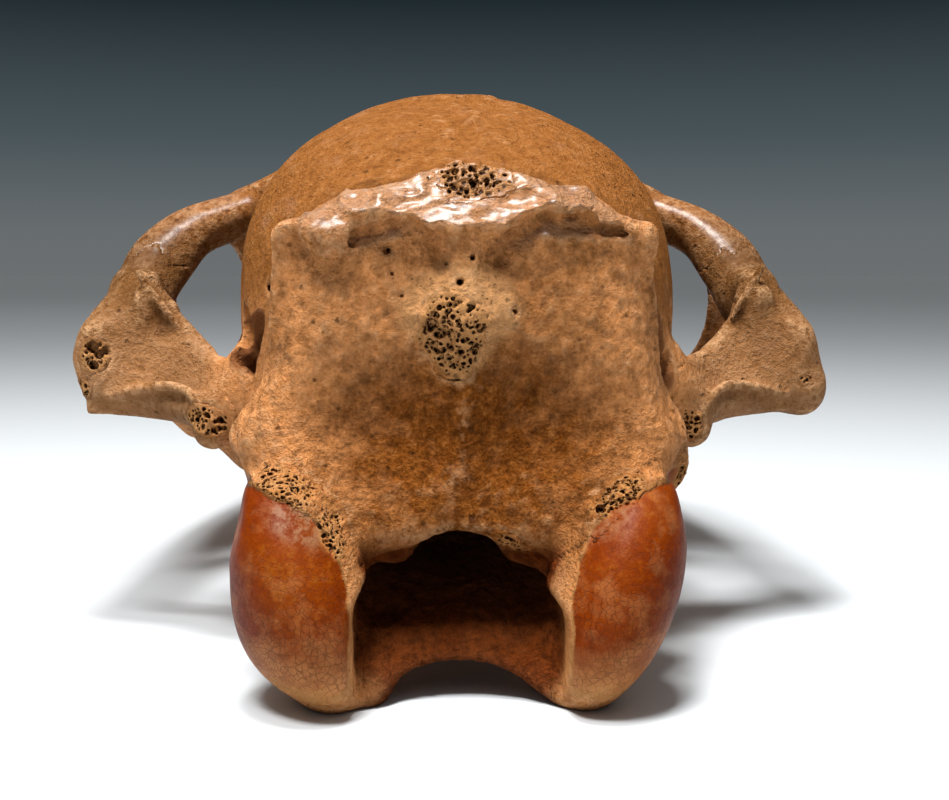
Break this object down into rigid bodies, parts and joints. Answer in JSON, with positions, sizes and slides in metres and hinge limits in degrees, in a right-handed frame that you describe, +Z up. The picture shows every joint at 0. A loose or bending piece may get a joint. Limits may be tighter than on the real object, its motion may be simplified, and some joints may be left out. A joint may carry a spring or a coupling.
{
  "type": "fossil horse skull",
  "caption": "Life-size fossil horse skull without its lower jaw, in brown stained bone, resting on its condyles, cheek teeth and incisors.",
  "frame": {"origin": "bottom centre of the bounding box, on the surface the skull rests on", "axes": "+Z up, +Y toward the nose, +X toward the side that is on the right when the skull is seen from behind"},
  "size_m": [0.1986, 0.5534, 0.148],
  "materials": {
    "tan_bone": "satin",
    "condyle_bone": "gloss",
    "dome_bone": "satin"
  },
  "bodies": {
    "root": {"occipital_bone": "tan_bone", "occipital_condyle_left": "condyle_bone", "occipital_condyle_right": "condyle_bone", "braincase": "dome_bone", "skull_base": "tan_bone", "frontal_bone": "dome_bone", "zygomatic_arch_left": "tan_bone", "zygomatic_arch_right": "tan_bone", "nasal_bones": "tan_bone", "maxilla_left": "tan_bone", "maxilla_right": "tan_bone", "premaxilla": "tan_bone"}
  },
  "joints": []
}
